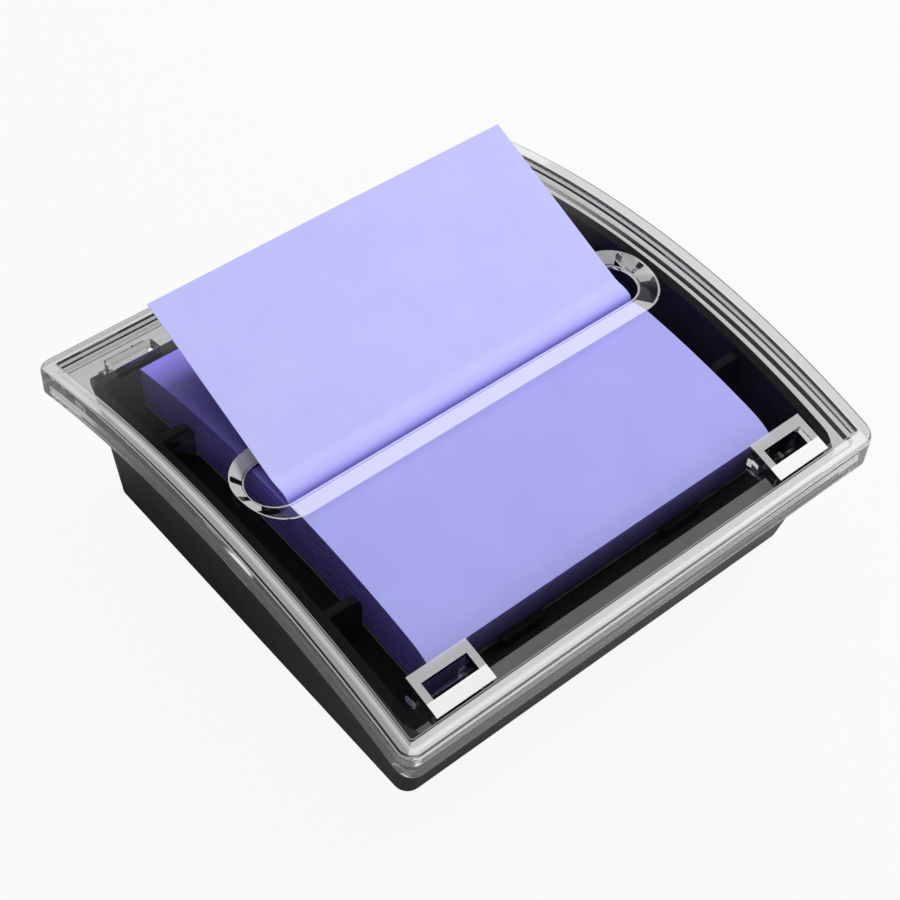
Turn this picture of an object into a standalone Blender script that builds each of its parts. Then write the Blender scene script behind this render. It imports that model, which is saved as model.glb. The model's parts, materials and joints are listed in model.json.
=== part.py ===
"""Sticky note dispenser: a weighted tray, a clear arched cover that hinges open at the back, and a pad
of z-folded notes whose top sheet comes up through a slot in the crown of the cover.

X runs to the right, Y to the back and Z up. The origin is on the table, under the middle of the cover.
Lengths are in metres.
"""

import math

import bmesh
import bpy
from mathutils import Vector

# Notes: square sheets, folded in a zigzag into one pad
NOTE_SIDE = 0.0762
PAD_THICKNESS = 0.0079
SHEET_THICKNESS = 0.00015
SHEET_GAP = 0.00025
LOOSE_SHEETS = 3
CARD_THICKNESS = 0.0004
STACK_GAP = 0.0002
NOTE_LEAN_ANGLE = math.radians(22.4)
NOTE_STANDING_LENGTH = 0.0406
NOTE_CURL = 0.0005
NOTE_CURL_SPAN = 0.0032
NOTE_SPLIT_GAP = 0.0001
CREASE_SETBACK = 0.0004
CREASE_RISE = 0.0002

# Room around the pad inside the tray
PAD_SIDE_ROOM = 0.0080
PAD_FRONT_ROOM = 0.0065
PAD_BACK_ROOM = 0.0014
PANEL_CLEARANCE = 0.0004

# Tray walls, floor and draft; a draft share is the sideways slope for each unit of height
TRAY_WALL = 0.0018
TRAY_FRONT_WALL = 0.0028
TRAY_CORNER_RADIUS = 0.0044
TRAY_FOOT_CORNER_RADIUS = 0.0026
TRAY_EDGE_STEP = 0.00095
SIDE_DRAFT_SHARE = 0.106
FRONT_DRAFT_SHARE = 0.18
BACK_DRAFT_SHARE = 0.045
FLOOR_END_Z = 0.0184
FLOOR_RISE = 0.0026
FLOOR_THICKNESS = 0.0020

# Guide ribs that centre the pad, and the stops in front of it
GUIDE_RIB_THICKNESS = 0.0016
GUIDE_RIB_PAD_GAP = 0.0008
GUIDE_RIB_DROP = 0.0011
GUIDE_RIB_RADIUS = 0.0026
GUIDE_RIB_Y = 0.0225
PAD_STOP_THICKNESS = 0.0012
PAD_STOP_LENGTH = 0.0090
PAD_STOP_HEIGHT = 0.0022
PAD_STOP_X = 0.0180
PAD_STOP_GAP = 0.0004

# Clear cover: a thick rim around a thinner arched panel
SIDE_OVERHANG = 0.0042
BACK_OVERHANG = 0.0087
ARCH_RISE = 0.0078
PANEL_THICKNESS = 0.0024
PANEL_RECESS = 0.0015
SKIRT_DEPTH = 0.0018
RIM_WIDTH = 0.0030
RIM_CORNER_RADIUS = 0.0030
RIM_EDGE_RADIUS = 0.0005
RIM_FOOT_CHAMFER = 0.0003

# Slot across the crown, with a bevelled lip and round ends that bulge to the back
SLOT_FRONT_SETBACK = 0.0037
SLOT_WIDTH = 0.0040
SLOT_END_INSET = 0.0008
SLOT_END_RADIUS = 0.0050
SLOT_SHOULDER_RADIUS = 0.0080
SLOT_LIP_WIDTH = 0.0046
SLOT_BEVEL_WIDTH = 0.0024
SLOT_LAND = 0.0005

# Clips under the front windows of the cover, and the notches in the tray that take them
CLIP_FROM_SIDE = 0.0146
WINDOW_WIDTH = 0.0090
CLIP_WALL = 0.0014
FRONT_WINDOW_MARGIN = 0.0063
FRONT_WINDOW_LENGTH = 0.0031
CLIP_DEPTH = 0.0030
CLIP_GAP = 0.0003
TONGUE_THICKNESS = 0.0010
NOTCH_DEPTH = 0.0045
BEAD_RADIUS = 0.0002

# Hinge: moulded pins between lugs on the tray, and snap hooks on the cover
BACK_WINDOW_MARGIN = 0.0071
BACK_WINDOW_LENGTH = 0.0034
HINGE_FROM_BACK = 0.0054
HINGE_BELOW_SKIRT = 0.0030
HINGE_PIN_RADIUS = 0.00125
HINGE_CLEARANCE = 0.00025
HOOK_WALL = 0.0011
HOOK_WIDTH = 0.0080
HOOK_MOUTH_ANGLE = math.radians(84)
HOOK_ARM_THICKNESS = 0.0014
LUG_THICKNESS = 0.0016
LUG_RADIUS = 0.0023
LUG_GAP = 0.0003

# Underside: bottom plate, ballast, screws and feet
FOOT_STANDOFF = 0.0008
FOOT_RADIUS = 0.0050
FOOT_RECESS_DEPTH = 0.0012
FOOT_FROM_SIDE = 0.0080
FOOT_GAP = 0.0003
FOOT_EDGE = 0.0003
PLATE_RECESS = 0.0002
PLATE_THICKNESS = 0.0022
PLATE_GAP = 0.0003
BALLAST_LENGTH = 0.0600
BALLAST_WIDTH = 0.0230
BALLAST_HEIGHT = 0.0075
BALLAST_GAP = 0.0003
BALLAST_CHAMFER = 0.0004
RIB_THICKNESS = 0.0014
SCREW_X = 0.0200
SCREW_BOSS_RADIUS = 0.0030
SCREW_BOSS_GAP = 0.0008
SCREW_RADIUS = 0.0010
SCREW_BORE_GAP = 0.0003
SCREW_LENGTH = 0.0080
SCREW_HEAD_RADIUS = 0.0023
SCREW_HEAD_HEIGHT = 0.0008
SCREW_POINT_LENGTH = 0.0010
BORE_SPARE = 0.0010

# How finely curves are cut up
ARCH_STATIONS = 36
PAD_STEPS = 24
CORNER_STEPS = 6
ROUND_STEPS = 40
SLOT_END_STEPS = 20
SHOULDER_STEPS = 8
RIB_STEPS = 6
SMOOTH_ANGLE = math.radians(30)
OVERRUN = 0.0010

# Sizes that follow from those above
PAD_HALF = NOTE_SIDE / 2
TRAY_HALF_WIDTH = PAD_HALF + PAD_SIDE_ROOM + TRAY_WALL
COVER_WIDTH = 2 * (TRAY_HALF_WIDTH + SIDE_OVERHANG)
COVER_DEPTH = (
    NOTE_SIDE
    + PAD_FRONT_ROOM
    + TRAY_FRONT_WALL
    + SIDE_OVERHANG
    + PAD_BACK_ROOM
    + TRAY_WALL
    + BACK_OVERHANG
)
COVER_FRONT_Y = -COVER_DEPTH / 2
COVER_BACK_Y = COVER_DEPTH / 2
TRAY_FRONT_Y = COVER_FRONT_Y + SIDE_OVERHANG
TRAY_BACK_Y = COVER_BACK_Y - BACK_OVERHANG
PAD_FRONT_Y = TRAY_FRONT_Y + TRAY_FRONT_WALL + PAD_FRONT_ROOM
PAD_BACK_Y = PAD_FRONT_Y + NOTE_SIDE
PAD_MIDDLE_Y = (PAD_FRONT_Y + PAD_BACK_Y) / 2

ARCH_RADIUS = (COVER_BACK_Y**2 + ARCH_RISE**2) / (2 * ARCH_RISE)
FLOOR_RADIUS = (PAD_HALF**2 + FLOOR_RISE**2) / (2 * FLOOR_RISE)
SHEET_PITCH = SHEET_THICKNESS + SHEET_GAP
STACK_HEIGHT = (
    STACK_GAP + CARD_THICKNESS + STACK_GAP + PAD_THICKNESS + LOOSE_SHEETS * SHEET_PITCH + PANEL_CLEARANCE
)
UNDERSIDE_END_Z = FLOOR_END_Z + STACK_HEIGHT

CLIP_X = COVER_WIDTH / 2 - CLIP_FROM_SIDE
CLIP_HALF_WIDTH = WINDOW_WIDTH / 2 + CLIP_WALL
FRONT_WINDOW_Y = COVER_FRONT_Y + FRONT_WINDOW_MARGIN
BACK_WINDOW_Y = COVER_BACK_Y - BACK_WINDOW_MARGIN
HINGE_Y = COVER_BACK_Y - HINGE_FROM_BACK
TRAY_BOTTOM_Z = FOOT_STANDOFF
PLATE_BOTTOM_Z = TRAY_BOTTOM_Z + PLATE_RECESS
PLATE_TOP_Z = PLATE_BOTTOM_Z + PLATE_THICKNESS


def arch_drop(y):
    """How far the cover's arch has fallen below its crown at this distance from the middle."""
    return ARCH_RADIUS - math.sqrt(ARCH_RADIUS**2 - y**2)


CROWN_UNDERSIDE_Z = UNDERSIDE_END_Z + arch_drop(PAD_HALF)


def underside_z(y):
    """Height of the underside of the cover's panel."""
    return CROWN_UNDERSIDE_Z - arch_drop(y)


def skirt_z(y):
    """Height of the lower edge of the cover's rim."""
    return underside_z(y) - SKIRT_DEPTH


def tray_edge_z(y):
    """Height of the tray's upper edge, just below the panel."""
    return underside_z(y) - TRAY_EDGE_STEP


def floor_z(y):
    """Height of the bowed floor that the pad lies on."""
    offset = y - PAD_MIDDLE_Y
    fall = FLOOR_RADIUS - math.sqrt(FLOOR_RADIUS**2 - offset**2)
    return FLOOR_END_Z + FLOOR_RISE - fall


HINGE_Z = skirt_z(COVER_BACK_Y) - HINGE_BELOW_SKIRT
TRAY_SIDE_REFERENCE_Z = tray_edge_z(0)
TRAY_FRONT_REFERENCE_Z = tray_edge_z(TRAY_FRONT_Y)
TRAY_BACK_REFERENCE_Z = tray_edge_z(TRAY_BACK_Y)


def clear_scene():
    for item in list(bpy.data.objects):
        bpy.data.objects.remove(item, do_unlink=True)


def new_object(name, bm):
    """Turn a bmesh into a named object with outward faces."""
    bmesh.ops.recalc_face_normals(bm, faces=bm.faces[:])
    mesh = bpy.data.meshes.new(name)
    bm.to_mesh(mesh)
    bm.free()
    item = bpy.data.objects.new(name, mesh)
    bpy.context.scene.collection.objects.link(item)
    return item


def loft(name, rings):
    """Skin a row of closed rings with as many points each, and cap both ends."""
    bm = bmesh.new()
    rows = [[bm.verts.new(point) for point in ring] for ring in rings]
    count = len(rows[0])
    for lower, upper in zip(rows, rows[1:]):
        for i in range(count):
            j = (i + 1) % count
            bm.faces.new((lower[i], lower[j], upper[j], upper[i]))
    bm.faces.new(list(reversed(rows[0])))
    bm.faces.new(rows[-1])
    return new_object(name, bm)


def box(name, x_range, y_range, z_range):
    """A block between two places along each axis."""
    x0, x1 = x_range
    y0, y1 = y_range
    ring = [(x0, y0), (x1, y0), (x1, y1), (x0, y1)]
    return loft(name, [[(x, y, z) for x, y in ring] for z in z_range])


def side_prism(name, profile, x_range):
    """Extrude a profile of (y, z) points along X."""
    return loft(name, [[(x, y, z) for y, z in profile] for x in x_range])


def disc(name, centre, radius_heights):
    """Turn a round piece about an upright axis from (radius, height) pairs."""
    rings = []
    for radius, z in radius_heights:
        ring = []
        for i in range(ROUND_STEPS):
            angle = math.tau * i / ROUND_STEPS
            ring.append((centre[0] + radius * math.cos(angle), centre[1] + radius * math.sin(angle), z))
        rings.append(ring)
    return loft(name, rings)


def combine(target, tool, operation):
    """Apply a Boolean with the tool, which is then gone."""
    modifier = target.modifiers.new(operation.title(), "BOOLEAN")
    modifier.operation = operation
    modifier.solver = "EXACT"
    modifier.object = tool
    depsgraph = bpy.context.evaluated_depsgraph_get()
    mesh = bpy.data.meshes.new_from_object(target.evaluated_get(depsgraph))
    target.modifiers.remove(modifier)
    old = target.data
    target.data = mesh
    bpy.data.meshes.remove(old)
    tool_mesh = tool.data
    bpy.data.objects.remove(tool, do_unlink=True)
    bpy.data.meshes.remove(tool_mesh)


def cut(target, tool):
    combine(target, tool, "DIFFERENCE")


def join(target, tool):
    combine(target, tool, "UNION")


def rounded_outline(half_width, y_front, y_back, radius):
    """Corner-rounded rectangle in plan, anticlockwise."""
    corners = (
        (half_width - radius, y_back - radius, 0),
        (-half_width + radius, y_back - radius, 1),
        (-half_width + radius, y_front + radius, 2),
        (half_width - radius, y_front + radius, 3),
    )
    points = []
    for x, y, quarter in corners:
        for i in range(CORNER_STEPS + 1):
            angle = math.radians(90) * (quarter + i / CORNER_STEPS)
            points.append((x + radius * math.cos(angle), y + radius * math.sin(angle)))
    return points


def steps(start, end, count):
    """Evenly spaced places from start to end, both included."""
    return [start + (end - start) * i / count for i in range(count + 1)]


def finish(item, material_name, colour, roughness, metallic=0.0, transmission=0.0, origin=None):
    """Give a piece its material, its smooth shading and its origin."""
    material = bpy.data.materials.new(material_name)
    material.use_nodes = True
    shader = material.node_tree.nodes["Principled BSDF"]
    shader.inputs["Base Color"].default_value = (*colour, 1.0)
    shader.inputs["Roughness"].default_value = roughness
    shader.inputs["Metallic"].default_value = metallic
    shader.inputs["Transmission Weight"].default_value = transmission
    material.diffuse_color = (*colour, 1.0)
    item.data.materials.clear()
    item.data.materials.append(material)
    item.data.shade_smooth()
    item.data.set_sharp_from_angle(angle=SMOOTH_ANGLE)
    if origin is not None:
        shift = Vector(origin)
        for vertex in item.data.vertices:
            vertex.co -= shift
        item.location = shift
    return item


def tray_ring(z, inset=0.0, front_inset=0.0, back_inset=0.0):
    """Plan of the drafted tray at one height, drawn in by the wall's thickness if asked."""
    half_width = TRAY_HALF_WIDTH - SIDE_DRAFT_SHARE * (TRAY_SIDE_REFERENCE_Z - z) - inset
    y_front = TRAY_FRONT_Y + FRONT_DRAFT_SHARE * (TRAY_FRONT_REFERENCE_Z - z) + front_inset
    y_back = TRAY_BACK_Y - BACK_DRAFT_SHARE * (TRAY_BACK_REFERENCE_Z - z) - back_inset
    height_share = (z - TRAY_BOTTOM_Z) / (TRAY_SIDE_REFERENCE_Z - TRAY_BOTTOM_Z)
    radius = TRAY_FOOT_CORNER_RADIUS + height_share * (TRAY_CORNER_RADIUS - TRAY_FOOT_CORNER_RADIUS) - inset
    return [(x, y, z) for x, y in rounded_outline(half_width, y_front, y_back, radius)]


def region_above(name, height_at):
    """Everything above a bowed surface, over the whole tray."""
    ys = steps(COVER_FRONT_Y, COVER_BACK_Y, ARCH_STATIONS)
    top = CROWN_UNDERSIDE_Z + ARCH_RISE
    profile = [(y, height_at(y)) for y in ys] + [(COVER_BACK_Y, top), (COVER_FRONT_Y, top)]
    return side_prism(name, profile, (-COVER_WIDTH / 2, COVER_WIDTH / 2))


def region_below(name, height_at, bottom):
    """Everything between a level and a bowed surface, over the whole tray."""
    ys = steps(COVER_FRONT_Y, COVER_BACK_Y, ARCH_STATIONS)
    profile = [(COVER_FRONT_Y, bottom), (COVER_BACK_Y, bottom)] + [(y, height_at(y)) for y in reversed(ys)]
    return side_prism(name, profile, (-COVER_WIDTH / 2, COVER_WIDTH / 2))


def ballast_rows():
    """The middle of each ballast bar along Y."""
    pitch = (BALLAST_WIDTH + RIB_THICKNESS) / 2 + BALLAST_GAP
    return (-pitch, pitch)


def foot_places():
    """Where the feet stand, in from the tray's lower corners."""
    ring = tray_ring(TRAY_BOTTOM_Z)
    x = max(point[0] for point in ring) - FOOT_FROM_SIDE
    y_front = min(point[1] for point in ring) + FOOT_FROM_SIDE
    y_back = max(point[1] for point in ring) - FOOT_FROM_SIDE
    return (("front_left", -x, y_front), ("front_right", x, y_front), ("rear_left", -x, y_back), ("rear_right", x, y_back))


def screw_places():
    """Screw bosses, just outside the ribs around the ballast."""
    y = ballast_rows()[1] + BALLAST_WIDTH / 2 + BALLAST_GAP + RIB_THICKNESS + SCREW_BOSS_GAP + SCREW_BOSS_RADIUS
    return (
        ("front_left", -SCREW_X, -y),
        ("front_right", SCREW_X, -y),
        ("rear_left", -SCREW_X, y),
        ("rear_right", SCREW_X, y),
    )


def lower_hollow():
    """The space under the tray's floor, less the ribs and bosses that stand in it."""
    inner_bottom = TRAY_BOTTOM_Z - OVERRUN
    hollow = loft(
        "hollow",
        [tray_ring(z, TRAY_WALL, TRAY_WALL, TRAY_WALL) for z in (inner_bottom, TRAY_SIDE_REFERENCE_Z)],
    )
    cut(hollow, region_above("above", lambda y: floor_z(y) - FLOOR_THICKNESS))
    rib_z = (PLATE_TOP_Z + PLATE_GAP, TRAY_SIDE_REFERENCE_Z)
    press_z = (PLATE_TOP_Z + PLATE_GAP + BALLAST_HEIGHT + BALLAST_GAP, TRAY_SIDE_REFERENCE_Z)
    half_length = BALLAST_LENGTH / 2 + BALLAST_GAP
    row_end = ballast_rows()[1] + BALLAST_WIDTH / 2 + BALLAST_GAP
    for side in (-1, 1):
        xs = sorted((side * half_length, side * (half_length + RIB_THICKNESS)))
        cut(hollow, box("rib", xs, (COVER_FRONT_Y, COVER_BACK_Y), rib_z))
        ys = sorted((side * row_end, side * (row_end + RIB_THICKNESS)))
        cut(hollow, box("rib", (-half_length, half_length), ys, rib_z))
    cut(hollow, box("rib", (-half_length, half_length), (-RIB_THICKNESS / 2, RIB_THICKNESS / 2), rib_z))
    cut(hollow, box("press", (-RIB_THICKNESS / 2, RIB_THICKNESS / 2), (-row_end, row_end), press_z))
    for _, x, y in screw_places():
        cut(hollow, disc("boss", (x, y), ((SCREW_BOSS_RADIUS, rib_z[0]), (SCREW_BOSS_RADIUS, rib_z[1]))))
    return hollow


def guide_rib(side, y):
    """A rib from the tray's side wall to the pad, with its top corner rounded."""
    inner_x = PAD_HALF + GUIDE_RIB_PAD_GAP
    top = tray_edge_z(y) - GUIDE_RIB_DROP
    bottom = floor_z(y) - FLOOR_THICKNESS / 2
    profile = [(TRAY_HALF_WIDTH - TRAY_WALL / 2, top)]
    for i in range(RIB_STEPS + 1):
        angle = math.radians(90) * (1 + i / RIB_STEPS)
        profile.append(
            (
                inner_x + GUIDE_RIB_RADIUS + GUIDE_RIB_RADIUS * math.cos(angle),
                top - GUIDE_RIB_RADIUS + GUIDE_RIB_RADIUS * math.sin(angle),
            )
        )
    profile.append((inner_x, bottom))
    drafted = TRAY_HALF_WIDTH - SIDE_DRAFT_SHARE * (TRAY_SIDE_REFERENCE_Z - bottom)
    profile.append((drafted - TRAY_WALL / 2, bottom))
    rings = []
    for edge in (y - GUIDE_RIB_THICKNESS / 2, y + GUIDE_RIB_THICKNESS / 2):
        rings.append([(side * x, edge, z) for x, z in profile])
    return loft("guide_rib", rings)


def arc_points(centre_y, centre_z, radius, start, end, count):
    """Points (y, z) of an arc in the side view."""
    return [
        (centre_y + radius * math.cos(angle), centre_z + radius * math.sin(angle))
        for angle in steps(start, end, count)
    ]


def hinge_lug(x_range):
    """A lug that stands out behind the tray's back wall, round at its end."""
    wall_y = TRAY_BACK_Y - TRAY_WALL
    profile = arc_points(HINGE_Y, HINGE_Z, LUG_RADIUS, math.radians(-90), math.radians(90), ROUND_STEPS // 2)
    profile += [(wall_y, HINGE_Z + LUG_RADIUS), (wall_y, HINGE_Z - LUG_RADIUS)]
    return side_prism("lug", profile, x_range)


def hinge_pin(centre_x):
    """The moulded pin that spans two lugs."""
    reach = HOOK_WIDTH / 2 + LUG_GAP + LUG_THICKNESS / 2
    profile = arc_points(HINGE_Y, HINGE_Z, HINGE_PIN_RADIUS, 0, math.tau, ROUND_STEPS)[:-1]
    return side_prism("pin", profile, (centre_x - reach, centre_x + reach))


def clip_notch(centre_x):
    """Room for a front clip, cut down into the tray's front wall from its upper edge."""
    half = CLIP_HALF_WIDTH + CLIP_GAP
    return box(
        "notch",
        (centre_x - half, centre_x + half),
        (FRONT_WINDOW_Y - TONGUE_THICKNESS - CLIP_GAP, FRONT_WINDOW_Y + FRONT_WINDOW_LENGTH),
        (tray_edge_z(FRONT_WINDOW_Y) - NOTCH_DEPTH, CROWN_UNDERSIDE_Z),
    )


def build_tray():
    """The drafted tub with its bowed floor, ribs, clip notches and hinge lugs."""
    top = CROWN_UNDERSIDE_Z + OVERRUN
    tray = loft("base_tray", [tray_ring(TRAY_BOTTOM_Z), tray_ring(top)])
    cut(tray, region_above("edge", tray_edge_z))
    well = loft(
        "well",
        [tray_ring(z, TRAY_WALL, TRAY_FRONT_WALL, TRAY_WALL) for z in (TRAY_BOTTOM_Z, top + OVERRUN)],
    )
    cut(well, region_below("floor", floor_z, -OVERRUN))
    cut(tray, well)
    cut(tray, lower_hollow())
    for side in (-1, 1):
        for y in (-GUIDE_RIB_Y, GUIDE_RIB_Y):
            join(tray, guide_rib(side, y))
        stop_y = PAD_FRONT_Y - PAD_STOP_GAP
        stop_x = side * PAD_STOP_X
        join(
            tray,
            box(
                "stop",
                (stop_x - PAD_STOP_LENGTH / 2, stop_x + PAD_STOP_LENGTH / 2),
                (stop_y - PAD_STOP_THICKNESS, stop_y),
                (floor_z(stop_y) - FLOOR_THICKNESS / 2, floor_z(stop_y) + PAD_STOP_HEIGHT),
            ),
        )
        cut(tray, clip_notch(side * CLIP_X))
        inner = HOOK_WIDTH / 2 + LUG_GAP
        for lug_side in (-1, 1):
            xs = sorted((side * CLIP_X + lug_side * inner, side * CLIP_X + lug_side * (inner + LUG_THICKNESS)))
            join(tray, hinge_lug(xs))
        join(tray, hinge_pin(side * CLIP_X))
    bore_top = PLATE_BOTTOM_Z + FOOT_RECESS_DEPTH + SCREW_LENGTH + BORE_SPARE
    for _, x, y in screw_places():
        bore = SCREW_RADIUS + SCREW_BORE_GAP
        cut(tray, disc("bore", (x, y), ((bore, -OVERRUN), (bore, bore_top))))
    return finish(tray, "black_plastic", (0.012, 0.012, 0.013), 0.32)


def build_bottom_plate():
    """The plate that closes the tray's underside, with seats for feet and screw heads."""
    inset = TRAY_WALL + PLATE_GAP
    plate = loft("bottom_plate", [tray_ring(z, inset, inset, inset) for z in (PLATE_BOTTOM_Z, PLATE_TOP_Z)])
    recess_top = PLATE_BOTTOM_Z + FOOT_RECESS_DEPTH
    for _, x, y in foot_places():
        radius = FOOT_RADIUS + FOOT_GAP
        cut(plate, disc("seat", (x, y), ((radius, -OVERRUN), (radius, recess_top))))
    for _, x, y in screw_places():
        head = SCREW_HEAD_RADIUS + SCREW_BORE_GAP
        shank = SCREW_RADIUS + SCREW_BORE_GAP
        cut(plate, disc("head", (x, y), ((head, -OVERRUN), (head, recess_top))))
        cut(plate, disc("hole", (x, y), ((shank, -OVERRUN), (shank, PLATE_TOP_Z + OVERRUN))))
    return finish(plate, "black_plate_plastic", (0.02, 0.02, 0.021), 0.55)


def build_ballast(name, y):
    """A steel bar with its edges broken, in its own pocket under the floor."""
    z0 = PLATE_TOP_Z + PLATE_GAP
    z1 = z0 + BALLAST_HEIGHT
    half_x = BALLAST_LENGTH / 2
    half_y = BALLAST_WIDTH / 2
    rings = []
    for z, inset in (
        (z0, BALLAST_CHAMFER),
        (z0 + BALLAST_CHAMFER, 0.0),
        (z1 - BALLAST_CHAMFER, 0.0),
        (z1, BALLAST_CHAMFER),
    ):
        outline = rounded_outline(half_x - inset, y - half_y + inset, y + half_y - inset, BALLAST_CHAMFER)
        rings.append([(px, py, z) for px, py in outline])
    return finish(loft(name, rings), name, (0.35, 0.35, 0.36), 0.45, metallic=1.0)


def build_foot(name, x, y):
    """A rubber foot with a softened lower edge."""
    top = PLATE_BOTTOM_Z + FOOT_RECESS_DEPTH - FOOT_GAP
    rings = ((FOOT_RADIUS - FOOT_EDGE, 0.0), (FOOT_RADIUS, FOOT_EDGE), (FOOT_RADIUS, top))
    return finish(disc(name, (x, y), rings), name, (0.03, 0.03, 0.03), 0.85)


def build_screw(name, x, y):
    """A pan-head screw, seen from below, up into its boss."""
    head_z = PLATE_BOTTOM_Z
    neck_z = head_z + SCREW_HEAD_HEIGHT
    tip_z = neck_z + SCREW_LENGTH
    rings = (
        (SCREW_HEAD_RADIUS - SCREW_HEAD_HEIGHT / 2, head_z),
        (SCREW_HEAD_RADIUS, head_z + SCREW_HEAD_HEIGHT / 2),
        (SCREW_HEAD_RADIUS, neck_z),
        (SCREW_RADIUS, neck_z),
        (SCREW_RADIUS, tip_z - SCREW_POINT_LENGTH),
        (SCREW_RADIUS / 2, tip_z),
    )
    return finish(disc(name, (x, y), rings), name, (0.55, 0.55, 0.56), 0.35, metallic=1.0)


def slot_outlines():
    """Lower and upper outline of the slot, point for point, anticlockwise.

    The front edge is straight. Each end is a circle that touches the front edge, and a hollow shoulder
    runs from the circle to the straight back edge. The lip is wider in front of the slot than around it.
    """
    end_x = PAD_HALF - SLOT_END_INSET
    front_y = -SLOT_FRONT_SETBACK
    back_y = front_y + SLOT_WIDTH
    centre_y = front_y + SLOT_END_RADIUS
    shoulder_y = back_y + SLOT_SHOULDER_RADIUS
    shoulder_x = end_x - math.sqrt(
        (SLOT_END_RADIUS + SLOT_SHOULDER_RADIUS) ** 2 - (shoulder_y - centre_y) ** 2
    )
    leave_angle = math.atan2(shoulder_y - centre_y, shoulder_x - end_x)
    right = []
    for angle in steps(math.radians(-90), leave_angle, SLOT_END_STEPS):
        front_share = max(0.0, -math.sin(angle)) ** 2
        width = SLOT_BEVEL_WIDTH + (SLOT_LIP_WIDTH - SLOT_BEVEL_WIDTH) * front_share
        pair = []
        for radius in (SLOT_END_RADIUS, SLOT_END_RADIUS + width):
            pair.append((end_x + radius * math.cos(angle), centre_y + radius * math.sin(angle)))
        right.append(pair)
    for angle in steps(leave_angle - math.pi, math.radians(-90), SHOULDER_STEPS)[1:]:
        pair = []
        for radius in (SLOT_SHOULDER_RADIUS, SLOT_SHOULDER_RADIUS - SLOT_BEVEL_WIDTH):
            pair.append((shoulder_x + radius * math.cos(angle), shoulder_y + radius * math.sin(angle)))
        right.append(pair)
    left = [[(-x, y) for x, y in pair] for pair in reversed(right)]
    return list(zip(*(right + left)))


def build_cover_blank():
    """The cover before it is arched: heights here are measured up from the rim's lower edge."""
    panel_low = SKIRT_DEPTH
    panel_high = SKIRT_DEPTH + PANEL_THICKNESS
    rim_high = panel_high + PANEL_RECESS

    def ring(inset, height):
        outline = rounded_outline(
            COVER_WIDTH / 2 - inset,
            COVER_FRONT_Y + inset,
            COVER_BACK_Y - inset,
            max(RIM_CORNER_RADIUS - inset, RIM_EDGE_RADIUS),
        )
        return [(x, y, height) for x, y in outline]

    def rounded_edge(inset, height, sign):
        """Rings that round an upper edge; sign 1 rounds outward faces and -1 those of a recess."""
        rows = []
        for i in range(4):
            angle = math.radians(30) * i
            rows.append(
                ring(
                    inset + sign * RIM_EDGE_RADIUS * (1 - math.cos(angle)),
                    height - RIM_EDGE_RADIUS * (1 - math.sin(angle)),
                )
            )
        return rows

    blank = loft(
        "clear_cover",
        [ring(RIM_FOOT_CHAMFER, 0.0), ring(0.0, RIM_FOOT_CHAMFER)] + rounded_edge(0.0, rim_high, 1),
    )
    recess = loft(
        "recess",
        [ring(RIM_WIDTH + RIM_FOOT_CHAMFER, panel_high), ring(RIM_WIDTH, panel_high + RIM_FOOT_CHAMFER)]
        + rounded_edge(RIM_WIDTH, rim_high, -1)
        + [ring(RIM_WIDTH - RIM_EDGE_RADIUS, rim_high + OVERRUN)],
    )
    cut(blank, recess)
    pocket = loft(
        "pocket",
        [
            ring(RIM_WIDTH - RIM_FOOT_CHAMFER, -OVERRUN),
            ring(RIM_WIDTH - RIM_FOOT_CHAMFER, 0.0),
            ring(RIM_WIDTH, RIM_FOOT_CHAMFER),
            ring(RIM_WIDTH, panel_low),
        ],
    )
    cut(blank, pocket)
    lower, upper = slot_outlines()
    slope = (PANEL_THICKNESS - SLOT_LAND + OVERRUN) / (PANEL_THICKNESS - SLOT_LAND)
    above = [(p[0] + (q[0] - p[0]) * slope, p[1] + (q[1] - p[1]) * slope) for p, q in zip(lower, upper)]
    slot = loft(
        "slot",
        [
            [(x, y, panel_low - OVERRUN) for x, y in lower],
            [(x, y, panel_low + SLOT_LAND) for x, y in lower],
            [(x, y, panel_high + OVERRUN) for x, y in above],
        ],
    )
    cut(blank, slot)
    return blank


def bend_to_arch(item):
    """Cut the flat piece into strips across Y and lift each to its height on the arch."""
    bm = bmesh.new()
    bm.from_mesh(item.data)
    for y in steps(COVER_FRONT_Y, COVER_BACK_Y, ARCH_STATIONS)[1:-1]:
        bmesh.ops.bisect_plane(
            bm,
            geom=bm.verts[:] + bm.edges[:] + bm.faces[:],
            plane_co=(0, y, 0),
            plane_no=(0, 1, 0),
        )
    for vertex in bm.verts:
        vertex.co.z += skirt_z(vertex.co.y)
    bmesh.ops.triangulate(bm, faces=[face for face in bm.faces if len(face.verts) > 4])
    bmesh.ops.recalc_face_normals(bm, faces=bm.faces[:])
    bm.to_mesh(item.data)
    bm.free()


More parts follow.
